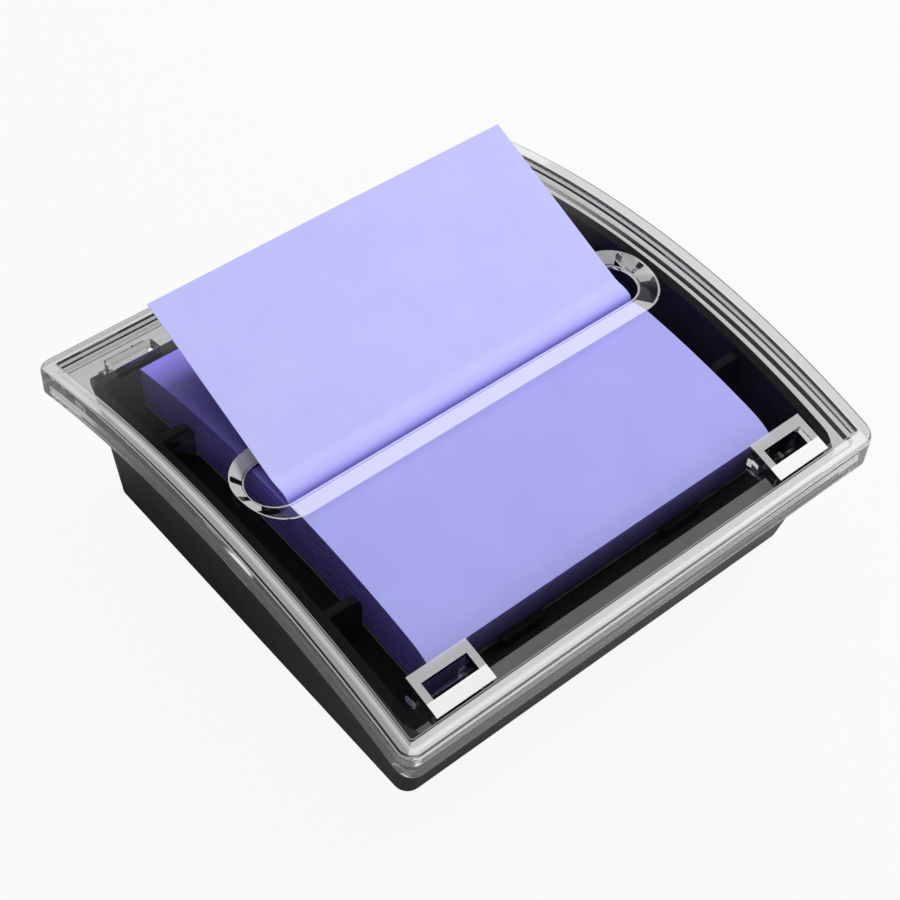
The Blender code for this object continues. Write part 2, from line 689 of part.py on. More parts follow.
def front_clip(cover, centre_x):
    """A square tube under a front window. Its front wall is a beaded tongue that drops into the notch."""
    xs = (centre_x - CLIP_HALF_WIDTH, centre_x + CLIP_HALF_WIDTH)
    front = FRONT_WINDOW_Y - TONGUE_THICKNESS
    window_back = FRONT_WINDOW_Y + FRONT_WINDOW_LENGTH
    back = window_back + CLIP_WALL
    tube_bottom = underside_z(FRONT_WINDOW_Y) - CLIP_DEPTH
    tongue_bottom = tray_edge_z(FRONT_WINDOW_Y) - NOTCH_DEPTH + CLIP_GAP
    join(cover, box("tube", xs, (front, back), (tube_bottom, underside_z(back) + SLOT_LAND)))
    join(cover, box("tongue", xs, (front, FRONT_WINDOW_Y), (tongue_bottom, tube_bottom + CLIP_GAP)))
    bead_z = tongue_bottom + 2 * BEAD_RADIUS
    bead = arc_points(front, bead_z, BEAD_RADIUS, math.radians(90), math.radians(270), RIB_STEPS)
    bead += [(FRONT_WINDOW_Y - TONGUE_THICKNESS / 2, bead_z - BEAD_RADIUS)]
    bead += [(FRONT_WINDOW_Y - TONGUE_THICKNESS / 2, bead_z + BEAD_RADIUS)]
    reach = WINDOW_WIDTH / 2
    join(cover, side_prism("bead", bead, (centre_x - reach, centre_x + reach)))
    cut(
        cover,
        box(
            "window",
            (centre_x - WINDOW_WIDTH / 2, centre_x + WINDOW_WIDTH / 2),
            (FRONT_WINDOW_Y, window_back),
            (tube_bottom - OVERRUN, CROWN_UNDERSIDE_Z + PANEL_THICKNESS),
        ),
    )


def back_clip(cover, centre_x):
    """An arm behind a rear window that ends in an open hook around the hinge pin."""
    half = HOOK_WIDTH / 2
    xs = (centre_x - half, centre_x + half)
    inner = HINGE_PIN_RADIUS + HINGE_CLEARANCE
    outer = inner + HOOK_WALL
    start = math.radians(-90) + HOOK_MOUTH_ANGLE / 2
    end = math.radians(270) - HOOK_MOUTH_ANGLE / 2
    profile = arc_points(HINGE_Y, HINGE_Z, outer, start, end, ROUND_STEPS)
    profile += arc_points(HINGE_Y, HINGE_Z, inner, end, start, ROUND_STEPS)
    hook = side_prism("hook", profile, xs)
    arm = box(
        "arm",
        xs,
        (BACK_WINDOW_Y, BACK_WINDOW_Y + HOOK_ARM_THICKNESS),
        (HINGE_Z + inner + HOOK_WALL / 3, underside_z(BACK_WINDOW_Y) + PANEL_THICKNESS / 2),
    )
    join(hook, arm)
    join(cover, hook)
    cut(
        cover,
        box(
            "window",
            (centre_x - WINDOW_WIDTH / 2, centre_x + WINDOW_WIDTH / 2),
            (BACK_WINDOW_Y - BACK_WINDOW_LENGTH, BACK_WINDOW_Y),
            (tray_edge_z(BACK_WINDOW_Y), CROWN_UNDERSIDE_Z + PANEL_THICKNESS),
        ),
    )


def build_cover():
    """The clear cover, with its origin on the hinge axis."""
    cover = build_cover_blank()
    bend_to_arch(cover)
    for side in (-1, 1):
        front_clip(cover, side * CLIP_X)
        back_clip(cover, side * CLIP_X)
    return finish(
        cover, "clear_plastic", (0.93, 0.95, 0.96), 0.04, transmission=0.95, origin=(0.0, HINGE_Y, HINGE_Z)
    )


def bowed_sheet(name, ys, top_at, bottom_at):
    """A solid of the note's width between two bowed surfaces."""
    profile = [(y, bottom_at(y)) for y in ys] + [(y, top_at(y)) for y in reversed(ys)]
    return side_prism(name, profile, (-PAD_HALF, PAD_HALF))


def card_top_z(y):
    return floor_z(y) + STACK_GAP + CARD_THICKNESS


def sheet_top_z(y, place):
    """Top of a sheet under the cover; place 0 is the uppermost. The front edges curl down a little."""
    past = max(0.0, PAD_FRONT_Y + NOTE_CURL_SPAN - y) / NOTE_CURL_SPAN
    return underside_z(y) - PANEL_CLEARANCE - place * SHEET_PITCH - NOTE_CURL * past * past


def build_paper():
    """Backing card, pad, loose sheets and the two halves of the note in the slot."""
    lilac = (0.42, 0.40, 0.88)
    whole = steps(PAD_FRONT_Y, PAD_BACK_Y, PAD_STEPS)
    card = bowed_sheet("backing_card", whole, card_top_z, lambda y: floor_z(y) + STACK_GAP)
    finish(card, "grey_card", (0.36, 0.34, 0.31), 0.9)
    pad = bowed_sheet(
        "note_pad",
        whole,
        lambda y: sheet_top_z(y, LOOSE_SHEETS),
        lambda y: card_top_z(y) + STACK_GAP,
    )
    finish(pad, "pad_paper", (0.36, 0.34, 0.82), 0.8)
    names = ("next_note", "third_note")
    for place, name in enumerate(names, start=1):
        sheet = bowed_sheet(
            name,
            whole,
            lambda y: sheet_top_z(y, place),
            lambda y: sheet_top_z(y, place) - SHEET_THICKNESS,
        )
        finish(sheet, name + "_paper", lilac, 0.75)


def build_top_note():
    """The sheet being dispensed: its lower half under the cover, its upper half up through the slot."""
    lilac = (0.46, 0.44, 0.93)
    lip_y = -SLOT_FRONT_SETBACK
    crease_y = lip_y + CREASE_SETBACK
    crease_z = CROWN_UNDERSIDE_Z + CREASE_RISE

    def lower_top(y):
        return sheet_top_z(y, 0) if y <= lip_y else crease_z

    lower = bowed_sheet(
        "top_note_lower_half",
        steps(PAD_FRONT_Y, lip_y, PAD_STEPS) + [crease_y - NOTE_SPLIT_GAP],
        lower_top,
        lambda y: lower_top(y) - SHEET_THICKNESS,
    )
    finish(lower, "top_note_lower_paper", lilac, 0.7, origin=(0.0, HINGE_Y, HINGE_Z))
    along = Vector((0.0, math.cos(NOTE_LEAN_ANGLE), math.sin(NOTE_LEAN_ANGLE)))
    across = Vector((0.0, -math.sin(NOTE_LEAN_ANGLE), math.cos(NOTE_LEAN_ANGLE)))
    foot = Vector((0.0, crease_y, crease_z))
    head = foot + along * NOTE_STANDING_LENGTH
    corners = (foot - across * SHEET_THICKNESS, head - across * SHEET_THICKNESS, head, foot)
    upper = side_prism("top_note_upper_half", [(p.y, p.z) for p in corners], (-PAD_HALF, PAD_HALF))
    finish(upper, "top_note_upper_paper", lilac, 0.7, origin=foot)


def build():
    clear_scene()
    build_tray()
    build_bottom_plate()
    for name, y in zip(("ballast_front", "ballast_rear"), ballast_rows()):
        build_ballast(name, y)
    for corner, x, y in foot_places():
        build_foot("foot_" + corner, x, y)
    for corner, x, y in screw_places():
        build_screw("screw_" + corner, x, y)
    build_cover()
    build_paper()
    build_top_note()


build()
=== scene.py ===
"""Looks for the sticky note dispenser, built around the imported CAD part. Lengths are in metres."""

import json
import math
import random

import bmesh
import bpy
from mathutils import Matrix, Vector


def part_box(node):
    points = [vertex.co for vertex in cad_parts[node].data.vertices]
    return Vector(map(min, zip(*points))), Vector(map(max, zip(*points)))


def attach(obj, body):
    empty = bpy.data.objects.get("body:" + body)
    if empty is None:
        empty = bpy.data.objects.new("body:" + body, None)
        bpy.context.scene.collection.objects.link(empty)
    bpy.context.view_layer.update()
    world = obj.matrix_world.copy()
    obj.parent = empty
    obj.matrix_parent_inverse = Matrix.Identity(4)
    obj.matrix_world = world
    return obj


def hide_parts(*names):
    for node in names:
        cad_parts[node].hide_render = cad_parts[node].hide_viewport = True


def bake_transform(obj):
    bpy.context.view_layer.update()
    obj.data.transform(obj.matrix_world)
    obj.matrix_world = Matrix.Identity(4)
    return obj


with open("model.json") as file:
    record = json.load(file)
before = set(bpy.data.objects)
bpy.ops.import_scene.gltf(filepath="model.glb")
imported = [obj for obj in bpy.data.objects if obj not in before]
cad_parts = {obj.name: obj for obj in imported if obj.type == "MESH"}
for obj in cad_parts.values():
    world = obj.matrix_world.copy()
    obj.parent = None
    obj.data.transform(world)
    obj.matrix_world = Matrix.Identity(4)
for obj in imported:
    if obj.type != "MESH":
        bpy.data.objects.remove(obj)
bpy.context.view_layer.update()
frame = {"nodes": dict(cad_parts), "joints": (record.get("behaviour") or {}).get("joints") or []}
NODES = frame["nodes"]
JOINTS = {joint["name"]: joint for joint in frame["joints"]}

# The cover's measures, as in the CAD part
COVER_WIDTH, COVER_DEPTH = 0.1042, 0.1016
HALF_WIDTH, HALF_DEPTH = COVER_WIDTH / 2, COVER_DEPTH / 2
ARCH_RISE = 0.0078
ARCH_RADIUS = (HALF_DEPTH**2 + ARCH_RISE**2) / (2 * ARCH_RISE)
SKIRT_DEPTH, PANEL_THICKNESS, PANEL_RECESS = 0.0018, 0.0024, 0.0015
RIM_WIDTH, RIM_CORNER, RIM_EDGE, FOOT_CHAMFER = 0.0030, 0.0030, 0.0005, 0.0003
SLOT_FRONT, SLOT_WIDTH, SLOT_END_X, SLOT_END_RADIUS = -0.0037, 0.0040, 0.0373, 0.0050
SHOULDER_RADIUS, LIP_WIDTH, BEVEL_WIDTH, SLOT_LAND = 0.0080, 0.0046, 0.0024, 0.0005
SLOPE_HEIGHT = PANEL_THICKNESS - SLOT_LAND
CLIP_X, CLIP_HALF, WINDOW_HALF = 0.0375, 0.0059, 0.0045
FRONT_WINDOW, FRONT_WINDOW_LENGTH = -0.0445, 0.0031
TUBE_DROP, TONGUE, TONGUE_DROP = 0.0030, 0.0010, 0.00515
BACK_WINDOW, BACK_WINDOW_LENGTH, ARM, ARM_RISE = 0.0437, 0.0034, 0.0014, 0.0019
HOOK_HALF, HOOK_INNER, HOOK_OUTER, HOOK_MOUTH = 0.0040, 0.0015, 0.0026, math.radians(84)
HINGE = Vector(JOINTS["cover_hinge"]["pos_m"])
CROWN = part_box("clear_cover")[1].z - PANEL_THICKNESS - PANEL_RECESS

# What the scene adds to the cover: a raised frame and a thicker rear wall round the front windows
BAR_DEPTH, FRAME_HEIGHT, CLIP_BACK_WALL = 0.0025, 0.00012, 0.0020
FRONT_WINDOW_END = FRONT_WINDOW + FRONT_WINDOW_LENGTH
CLIP_BACK = FRONT_WINDOW_END + CLIP_BACK_WALL

# How finely the cover is cut up
EDGE_STEPS, CORNER_STEPS, ARCH_STATIONS, FRAME_STEPS = 6, 8, 72, 6
RING_STEPS, SHOULDER_STEPS, HOOK_STEPS = 44, 16, 40

# Cosines of the angles within which faces are smoothed, or count as part of the arch
SMOOTH_LIMIT = math.cos(math.radians(21))
ARCH_LIMIT = math.cos(math.radians(3))
# Dot products with the arch's normal: above the first a face is a slope, below the second a wall
SLOPE_TILT, WALL_TILT = 0.2, 0.9
# How far a cutter overshoots, and how exactly the place of a face is known
SPARE, GRAZE = 0.001, 0.00005


# Node helpers


def new_material(name):
    material = bpy.data.materials.new(name)
    material.use_nodes = True
    tree = material.node_tree
    return material, tree, tree.nodes["Principled BSDF"]


def node(tree, kind, inputs=None, **settings):
    """A shader node; each input is a value or the socket to link."""
    made = tree.nodes.new("ShaderNode" + kind)
    for key, value in settings.items():
        setattr(made, key, value)
    for key, value in (inputs or {}).items():
        if isinstance(value, bpy.types.NodeSocket):
            tree.links.new(value, made.inputs[key])
        else:
            made.inputs[key].default_value = value
    return made


def object_point(tree, scale=(1, 1, 1)):
    """The object's own coordinates, stretched."""
    point = node(tree, "TexCoord").outputs["Object"]
    return node(tree, "Mapping", {"Vector": point, "Scale": scale}).outputs[0]


def noise(tree, point, scale, detail, roughness=0.6):
    inputs = {"Vector": point, "Scale": scale, "Detail": detail, "Roughness": roughness}
    return node(tree, "TexNoise", inputs).outputs["Fac"]


def spread(tree, value, low, high, from_low=0.3, from_high=0.7):
    """Map a value to a range; noise stays mostly between 0.3 and 0.7."""
    inputs = {0: value, 1: from_low, 2: from_high, 3: low, 4: high}
    return node(tree, "MapRange", inputs).outputs[0]


def choose(tree, share, low, high):
    """The low value where share is 0, the high one where it is 1."""
    return spread(tree, share, low, high, 0.0, 1.0)


def compute(tree, operation, first, second):
    return node(tree, "Math", {0: first, 1: second}, operation=operation).outputs[0]


def blend_colours(tree, factor, dark, light):
    """A ramp over the range in which noise stays."""
    ramp = node(tree, "ValToRGB", {"Fac": factor})
    for element, colour, position in zip(ramp.color_ramp.elements, (dark, light), (0.3, 0.7)):
        element.color = (*colour, 1)
        element.position = position
    return ramp.outputs["Color"]


def mix_colours(tree, share, first, second):
    """The first colour, a socket, where share is 0, and the second where it is 1."""
    made = node(tree, "Mix", {0: share, 6: first, 7: (*second, 1)}, data_type="RGBA")
    return made.outputs[2]


def bump(tree, height, strength, distance, normal=None):
    inputs = {"Height": height, "Strength": strength, "Distance": distance}
    if normal is not None:
        inputs["Normal"] = normal
    return node(tree, "Bump", inputs).outputs["Normal"]


# Materials


def clear_plastic(name, haze, rough, shadow):
    """Clear moulding with faint flow waves and hairline scuffs.

    Haze is the share of light that it scatters. Lamps shine through it, and shadow is the share
    of their light that passes one surface.
    """
    material, tree, shader = new_material(name)
    flow = noise(tree, object_point(tree), scale=55, detail=2, roughness=0.4)
    scuff = noise(tree, object_point(tree, (1, 9, 1)), scale=900, detail=3, roughness=0.7)
    shader.inputs["Base Color"].default_value = (0.985, 0.99, 0.99, 1)
    shader.inputs["Transmission Weight"].default_value = 1 - haze
    shader.inputs["IOR"].default_value = 1.49
    if haze > 0:
        tree.links.new(spread(tree, scuff, *rough), shader.inputs["Roughness"])
        normal = None
    else:
        shader.inputs["Roughness"].default_value = 0.0
        normal = bump(tree, scuff, strength=0.02, distance=0.00001)
    waves = bump(tree, flow, strength=0.04, distance=0.0002, normal=normal)
    tree.links.new(waves, shader.inputs["Normal"])
    clear = node(tree, "BsdfTransparent", {"Color": (shadow, shadow, shadow, 1)})
    in_shadow = node(tree, "LightPath").outputs["Is Shadow Ray"]
    inputs = {0: in_shadow, 1: shader.outputs[0], 2: clear.outputs[0]}
    mix = node(tree, "MixShader", inputs)
    tree.links.new(mix.outputs[0], tree.nodes["Material Output"].inputs["Surface"])
    return material


def moulded_plastic(name, dark, light, rough, grain, depth, gloss=0.5):
    """Opaque moulding with a fine spark-eroded grain and slow changes of gloss."""
    material, tree, shader = new_material(name)
    shader.inputs["Specular IOR Level"].default_value = gloss
    point = object_point(tree)
    slow = noise(tree, point, scale=40, detail=3)
    fine = noise(tree, point, scale=grain, detail=2, roughness=0.5)
    grained = bump(tree, fine, strength=0.35, distance=depth)
    tree.links.new(blend_colours(tree, slow, dark, light), shader.inputs["Base Color"])
    tree.links.new(spread(tree, slow, *rough), shader.inputs["Roughness"])
    tree.links.new(grained, shader.inputs["Normal"])
    return material


def paper(name, dark, light, edge_lines=False, shade_heights=None, shade_colour=(0.30, 0.27, 0.86)):
    """Uncoated paper: short fibres, a faint mottle and, on the pad, the lines of its cut edges.

    Shade heights are a pair of heights: the colour turns into the shade colour, a painted shade,
    from the upper to the lower.
    """
    material, tree, shader = new_material(name)
    point = object_point(tree)
    mottle = noise(tree, point, scale=90, detail=4, roughness=0.65)
    fibre = noise(tree, object_point(tree, (1, 3, 3)), scale=1600, detail=3, roughness=0.7)
    colour = blend_colours(tree, mottle, dark, light)
    normal = bump(tree, fibre, strength=0.25, distance=0.00004)
    if edge_lines:
        waves = {"Scale": 900, "Distortion": 1.5, "Detail": 2, "Detail Scale": 0.4}
        inputs = {"Vector": point, **waves}
        lines = node(tree, "TexWave", inputs, bands_direction="Z").outputs["Fac"]
        in_line = [channel * 0.45 for channel in dark]
        colour = mix_colours(tree, choose(tree, lines, 0.0, 0.45), colour, in_line)
        normal = bump(tree, lines, strength=0.5, distance=0.00006, normal=normal)
    # Painted shade: the colour turns deeper towards the lower height
    if shade_heights:
        height = node(tree, "SeparateXYZ", {0: point}).outputs["Z"]
        colour = mix_colours(tree, spread(tree, height, 1.0, 0.0, *shade_heights), colour, shade_colour)
    tree.links.new(colour, shader.inputs["Base Color"])
    tree.links.new(normal, shader.inputs["Normal"])
    tree.links.new(spread(tree, mottle, 0.72, 0.86), shader.inputs["Roughness"])
    shader.inputs["Specular IOR Level"].default_value = 0.3
    return material


def metal(name, dark, light, rough, stretch):
    """Bare metal with drawn streaks."""
    material, tree, shader = new_material(name)
    streaks = noise(tree, object_point(tree, stretch), scale=500, detail=4, roughness=0.7)
    cloud = noise(tree, object_point(tree), scale=60, detail=3)
    drawn = bump(tree, streaks, strength=0.3, distance=0.00003)
    tree.links.new(blend_colours(tree, cloud, dark, light), shader.inputs["Base Color"])
    tree.links.new(spread(tree, streaks, *rough), shader.inputs["Roughness"])
    tree.links.new(drawn, shader.inputs["Normal"])
    shader.inputs["Metallic"].default_value = 1.0
    return material


# The cover's finishes
CLEAR = clear_plastic("clear_styrene", haze=0.0, rough=(0.0, 0.0), shadow=0.945)
SATIN = clear_plastic("satin_styrene", haze=0.42, rough=(0.21, 0.24), shadow=0.85)
RIM_TOP = clear_plastic("rim_styrene", haze=0.28, rough=(0.10, 0.16), shadow=0.85)
# Hazier, and so whiter, on the rim's front and right, where the light falls: painted light.
RIM_PAINTED_LIGHT = clear_plastic("rim_painted_light_styrene", haze=0.52, rough=(0.12, 0.20), shadow=0.85)
RIM_SIDE = clear_plastic("rim_side_styrene", haze=0.16, rough=(0.08, 0.14), shadow=0.88)
FROSTED = clear_plastic("frosted_styrene", haze=0.40, rough=(0.3, 0.42), shadow=0.8)
MILKY = clear_plastic("milky_styrene", haze=0.80, rough=(0.4, 0.55), shadow=0.7)
FINISHES = (CLEAR, SATIN, FROSTED, MILKY, RIM_TOP, RIM_SIDE, RIM_PAINTED_LIGHT)

# Tray, plate and feet
BLACK = moulded_plastic(
    "black_styrene",
    dark=(0.006, 0.006, 0.0065),
    light=(0.009, 0.009, 0.010),
    rough=(0.42, 0.50),
    grain=1500,
    depth=0.000004,
    gloss=0.4,
)
PLATE = moulded_plastic(
    "black_grained",
    dark=(0.012, 0.012, 0.013),
    light=(0.018, 0.018, 0.019),
    rough=(0.5, 0.65),
    grain=1700,
    depth=0.00005,
)
RUBBER = moulded_plastic(
    "foot_rubber",
    dark=(0.018, 0.018, 0.018),
    light=(0.03, 0.03, 0.03),
    rough=(0.8, 0.92),
    grain=2200,
    depth=0.00006,
)
# A lighter grey for the top of the tray's front edge: painted sheen.
LEDGE_SHEEN = moulded_plastic(
    "painted_sheen_ledge",
    dark=(0.13, 0.13, 0.131),
    light=(0.15, 0.15, 0.151),
    rough=(0.5, 0.6),
    grain=1500,
    depth=0.000004,
    gloss=0.4,
)

# Notes and pad. The standing note has painted shade in its fold: its colour turns deeper between
# these heights
FOLD_SHADE = (CROWN + 0.0006, CROWN + 0.0018)
NOTE = paper("note_paper", (0.455, 0.459, 0.845), (0.487, 0.491, 0.87), shade_heights=FOLD_SHADE)
# The front note is the standing note's paper with its colour changed for the light under the cover:
# painted light.
FRONT_NOTE_PAINTED_LIGHT = paper("front_note_painted_light", (0.435, 0.435, 0.92), (0.465, 0.465, 0.95))
# The lower notes and the pad are the same lilac paper made a deeper violet: painted shade.
LOWER_NOTE_PAINTED_SHADE = paper("lower_note_painted_shade", (0.28, 0.22, 0.92), (0.32, 0.26, 0.95))
PAD_PAINTED_SHADE = paper("pad_paper", (0.28, 0.22, 0.90), (0.31, 0.25, 0.93), edge_lines=True)
CARD = paper("grey_board", (0.30, 0.28, 0.25), (0.40, 0.37, 0.33))

# Ballast and screws
STEEL = metal(
    "ballast_steel",
    dark=(0.28, 0.28, 0.29),
    light=(0.40, 0.40, 0.41),
    rough=(0.35, 0.6),
    stretch=(0.1, 1, 1),
)
ZINC = metal(
    "zinc_plate",
    dark=(0.52, 0.52, 0.53),
    light=(0.66, 0.66, 0.66),
    rough=(0.25, 0.45),
    stretch=(1, 1, 1),
)


# Mesh helpers
SOFT_ANGLE, SHARP_MARGIN, SOFT_SEGMENTS = 30, 6, 2
MERGE_DISTANCE, FLAT_ANGLE = 0.000002, 0.4
NORMAL_WEIGHT = 100


def link(name, data):
    made = bpy.data.objects.new(name, data)
    bpy.context.scene.collection.objects.link(made)
    return made


def to_object(name, bm):
    """Turn a bmesh into an object whose faces look outward."""
    bmesh.ops.recalc_face_normals(bm, faces=bm.faces[:])
    mesh = bpy.data.meshes.new(name)
    bm.to_mesh(mesh)
    bm.free()
    return link(name, mesh)


def dress(item, material):
    item.data.materials.clear()
    item.data.materials.append(material)


def shade(item, sharp_angle):
    """Smooth an object's faces, but for edges sharper than an angle in degrees."""
    item.data.shade_smooth()
    item.data.set_sharp_from_angle(angle=math.radians(sharp_angle))


def apply_modifiers(item):
    """Bake an object's modifiers into its mesh."""
    depsgraph = bpy.context.evaluated_depsgraph_get()
    mesh = bpy.data.meshes.new_from_object(item.evaluated_get(depsgraph))
    item.modifiers.clear()
    item.data = mesh


def softened_copy(source, name, body, material, width, angle=SOFT_ANGLE):
    """A copy of a CAD node with its sharp edges slightly rounded, standing in for the node."""
    mesh = source.data.copy()
    bm = bmesh.new()
    bm.from_mesh(mesh)
    bmesh.ops.remove_doubles(bm, verts=bm.verts, dist=MERGE_DISTANCE)
    flat = math.radians(FLAT_ANGLE)
    bmesh.ops.dissolve_limit(bm, angle_limit=flat, verts=bm.verts, edges=bm.edges)
    bm.to_mesh(mesh)
    bm.free()
    made = link(name, mesh)
    dress(made, material)
    shade(made, angle + SHARP_MARGIN)
    soft = made.modifiers.new("Bevel", "BEVEL")
    soft.width = width
    soft.segments = SOFT_SEGMENTS
    soft.limit_method = "ANGLE"
    soft.angle_limit = math.radians(angle)
    soft.use_clamp_overlap = True
    weighted = made.modifiers.new("Weighted", "WEIGHTED_NORMAL")
    weighted.keep_sharp = True
    weighted.weight = NORMAL_WEIGHT
    apply_modifiers(made)
    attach(made, body)
    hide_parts(source.name)
    return made


def loft(name, rings):
    """A closed solid through rings with equal counts of points."""
    bm = bmesh.new()
    rows = [[bm.verts.new(point) for point in ring] for ring in rings]
    count = len(rows[0])
    for lower, upper in zip(rows, rows[1:]):
        for i in range(count):
            j = (i + 1) % count
            bm.faces.new((lower[i], lower[j], upper[j], upper[i]))
    bm.faces.new(list(reversed(rows[0])))
    bm.faces.new(rows[-1])
    return to_object(name, bm)


def box(x_range, y_range, z_range):
    x0, x1 = x_range
    y0, y1 = y_range
    ring = [(x0, y0), (x1, y0), (x1, y1), (x0, y1)]
    return loft("box", [[(x, y, z) for x, y in ring] for z in z_range])


def combine(target, tool, operation):
    """Cut a tool out of a target or unite them, and use the tool up."""
    modifier = target.modifiers.new("Boolean", "BOOLEAN")
    modifier.operation = operation
    modifier.solver = "EXACT"
    modifier.object = tool
    apply_modifiers(target)
    bpy.data.objects.remove(tool, do_unlink=True)


# The arch that cover, tray and paper follow


def drop(y):
    """How far the arch has fallen below its crown."""
    return ARCH_RADIUS - math.sqrt(ARCH_RADIUS**2 - y**2)


def underside(y):
    """Height of the panel's underside."""
    return CROWN - drop(y)


def arch_normal(y):
    return Vector((0, y / ARCH_RADIUS, math.sqrt(1 - (y / ARCH_RADIUS) ** 2)))


# The clear cover, as in the CAD part but cut up more finely, with the arch's own normals


def rounded_ring(inset, height):
    """The cover's outline in plan, drawn in, at one height."""
    radius = max(RIM_CORNER - inset, RIM_EDGE)
    x0, y0 = HALF_WIDTH - inset - radius, HALF_DEPTH - inset - radius
    points = []
    for quarter, (x, y) in enumerate(((x0, y0), (-x0, y0), (-x0, -y0), (x0, -y0))):
        for i in range(CORNER_STEPS + 1):
            angle = math.radians(90) * (quarter + i / CORNER_STEPS)
            points.append((x + radius * math.cos(angle), y + radius * math.sin(angle), height))
    return points


def rounded_edge(inset, height, sign):
    """Rings round the rim's upper edge, the outer one with sign 1 and the inner one with -1."""
    rows = []
    for i in range(EDGE_STEPS + 1):
        angle = math.radians(90) * i / EDGE_STEPS
        drawn_in = inset + sign * RIM_EDGE * (1 - math.cos(angle))
        rows.append(rounded_ring(drawn_in, height - RIM_EDGE * (1 - math.sin(angle))))
    return rows


def on_arc(x, y, angle, *radii):
    """Points at one angle round a centre, one for each radius."""
    return [(x + radius * math.cos(angle), y + radius * math.sin(angle)) for radius in radii]


def slot_pairs():
    """Lower and upper outline of the slot: a straight front, round ends and hollow shoulders."""
    quarter = math.radians(90)
    centre_y = SLOT_FRONT + SLOT_END_RADIUS
    shoulder_y = SLOT_FRONT + SLOT_WIDTH + SHOULDER_RADIUS
    reach = SLOT_END_RADIUS + SHOULDER_RADIUS
    shoulder_x = SLOT_END_X - math.sqrt(reach**2 - (shoulder_y - centre_y) ** 2)
    leave = math.atan2(shoulder_y - centre_y, shoulder_x - SLOT_END_X)
    pairs = []
    for i in range(RING_STEPS + 1):
        angle = -quarter + (leave + quarter) * i / RING_STEPS
        share = max(0.0, -math.sin(angle)) ** 2
        outer = SLOT_END_RADIUS + BEVEL_WIDTH + (LIP_WIDTH - BEVEL_WIDTH) * share
        pairs.append(on_arc(SLOT_END_X, centre_y, angle, SLOT_END_RADIUS, outer))
    for i in range(1, SHOULDER_STEPS + 1):
        angle = leave - math.pi + (quarter - leave) * i / SHOULDER_STEPS
        inner = SHOULDER_RADIUS - BEVEL_WIDTH
        pairs.append(on_arc(shoulder_x, shoulder_y, angle, SHOULDER_RADIUS, inner))
    mirrored = [[(-x, y) for x, y in pair] for pair in reversed(pairs)]
    return list(zip(*(pairs + mirrored)))


# Extra rings on the slot's slope, as shares of its height, at which its finish and its painted
# highlights change
SLOPE_LINES = (0.10, 0.15, 0.90)


def cover_blank():
    """The cover before it is arched; heights run up from the rim's lower edge."""
    low, high = SKIRT_DEPTH, SKIRT_DEPTH + PANEL_THICKNESS
    top = high + PANEL_RECESS
    foot = [rounded_ring(FOOT_CHAMFER, 0), rounded_ring(0, FOOT_CHAMFER)]
    blank = loft("cover", foot + rounded_edge(0, top, 1))
    recess = [
        rounded_ring(RIM_WIDTH + FOOT_CHAMFER, high),
        rounded_ring(RIM_WIDTH, high + FOOT_CHAMFER),
        *rounded_edge(RIM_WIDTH, top, -1),
        rounded_ring(RIM_WIDTH - RIM_EDGE, top + SPARE),
    ]
    combine(blank, loft("recess", recess), "DIFFERENCE")
    pocket = [
        rounded_ring(RIM_WIDTH - FOOT_CHAMFER, -SPARE),
        rounded_ring(RIM_WIDTH - FOOT_CHAMFER, 0),
        rounded_ring(RIM_WIDTH, FOOT_CHAMFER),
        rounded_ring(RIM_WIDTH, low),
    ]
    combine(blank, loft("pocket", pocket), "DIFFERENCE")
    lower, upper = slot_pairs()
    slot = [[(x, y, low - SPARE) for x, y in lower]]
    for share in (0.0, *SLOPE_LINES, (SLOPE_HEIGHT + SPARE) / SLOPE_HEIGHT):
        z = low + SLOT_LAND + SLOPE_HEIGHT * share
        ring = []
        for (x0, y0), (x1, y1) in zip(lower, upper):
            ring.append((x0 + (x1 - x0) * share, y0 + (y1 - y0) * share, z))
        slot.append(ring)
    combine(blank, loft("slot", slot), "DIFFERENCE")
    return blank


def bend(item):
    """Cut a flat blank into strips and lay it over the arch."""
    bm = bmesh.new()
    bm.from_mesh(item.data)
    for i in range(1, ARCH_STATIONS):
        parts = bm.verts[:] + bm.edges[:] + bm.faces[:]
        y = -HALF_DEPTH + COVER_DEPTH * i / ARCH_STATIONS
        bmesh.ops.bisect_plane(bm, geom=parts, plane_co=(0, y, 0), plane_no=(0, 1, 0))
    for vertex in bm.verts:
        vertex.co.z += underside(vertex.co.y) - SKIRT_DEPTH
    bmesh.ops.triangulate(bm, faces=[face for face in bm.faces if len(face.verts) > 4])
    bm.to_mesh(item.data)
    bm.free()


def clip_frame(xs, start, end):
    """A low raised frame on the panel round a front window, from one y to another."""
    ys = [start + (end - start) * i / FRAME_STEPS for i in range(FRAME_STEPS + 1)]
    top = [(y, underside(y) + PANEL_THICKNESS + FRAME_HEIGHT) for y in ys]
    bottom = [(y, underside(y) + PANEL_THICKNESS / 2) for y in reversed(ys)]
    return loft("frame", [[(x, y, z) for y, z in bottom + top] for x in xs])


def front_clip(item, x):
    """A square tube under a front window, with a long tongue in front."""
    xs = (x - CLIP_HALF, x + CLIP_HALF)
    front = FRONT_WINDOW - TONGUE
    tube = underside(FRONT_WINDOW) - TUBE_DROP
    tongue = underside(FRONT_WINDOW) - TONGUE_DROP
    panel = underside(CLIP_BACK) + SLOT_LAND
    combine(item, box(xs, (front, CLIP_BACK), (tube, panel)), "UNION")
    combine(item, box(xs, (front, FRONT_WINDOW), (tongue, tube + SLOT_LAND)), "UNION")
    combine(item, clip_frame(xs, FRONT_WINDOW - BAR_DEPTH, CLIP_BACK), "UNION")
    window = box(
        (x - WINDOW_HALF, x + WINDOW_HALF),
        (FRONT_WINDOW, FRONT_WINDOW_END),
        (tube - SPARE, CROWN + PANEL_THICKNESS),
    )
    combine(item, window, "DIFFERENCE")


